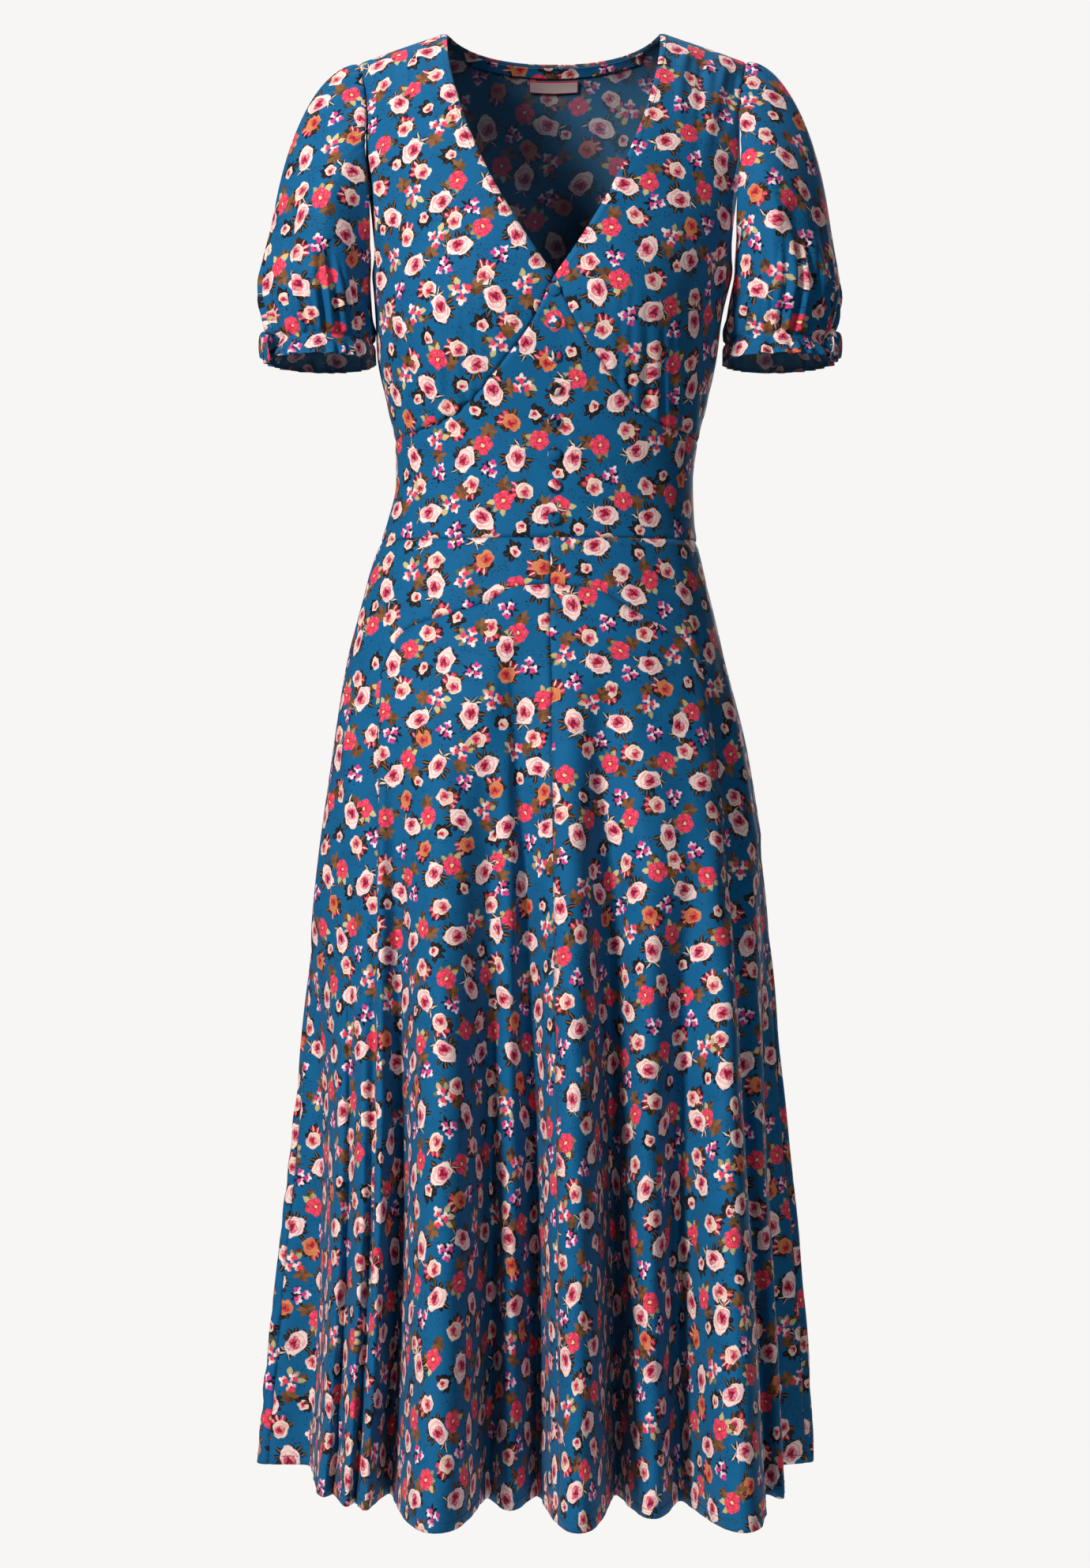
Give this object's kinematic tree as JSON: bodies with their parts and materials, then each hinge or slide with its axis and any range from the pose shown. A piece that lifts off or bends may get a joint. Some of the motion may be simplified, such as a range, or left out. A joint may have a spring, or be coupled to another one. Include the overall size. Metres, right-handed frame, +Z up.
{
  "type": "tea dress",
  "caption": "Midi-length printed tea dress, filled out as if worn: V neck, short puff sleeves with tied cuffs, a shaped midriff with covered buttons, a hip yoke and a flared skirt in deep folds",
  "frame": {"origin": "The middle of the line between the two neck points, where the shoulder seams meet the neck edge and the shoulders carry the dress.", "axes": "+Z up along the body, -Y to the front of the dress, +X to the wearer's left."},
  "size_m": [0.4824, 0.4592, 1.1806],
  "materials": {
    "printed_cloth": "matt woven viscose with a small floral print",
    "button_cloth": "plain teal-blue cloth over a metal button form",
    "label_tape": "pale woven tape, left plain"
  },
  "bodies": {
    "root": {"bodice_back": "printed_cloth", "bodice_front_left": "printed_cloth", "bodice_front_right": "printed_cloth", "button_1": "button_cloth", "button_2": "button_cloth", "button_3": "button_cloth", "button_4": "button_cloth", "button_5": "button_cloth", "button_6": "button_cloth", "button_7": "button_cloth", "button_8": "button_cloth", "midriff_back": "printed_cloth", "midriff_front": "printed_cloth", "neck_facing": "printed_cloth", "neck_label": "label_tape", "skirt_back_left": "printed_cloth", "skirt_back_right": "printed_cloth", "skirt_front_left": "printed_cloth", "skirt_front_right": "printed_cloth", "skirt_side_left": "printed_cloth", "skirt_side_right": "printed_cloth", "sleeve_left": "printed_cloth", "sleeve_right": "printed_cloth", "sleeve_tie_left": "printed_cloth", "sleeve_tie_right": "printed_cloth"}
  },
  "joints": []
}
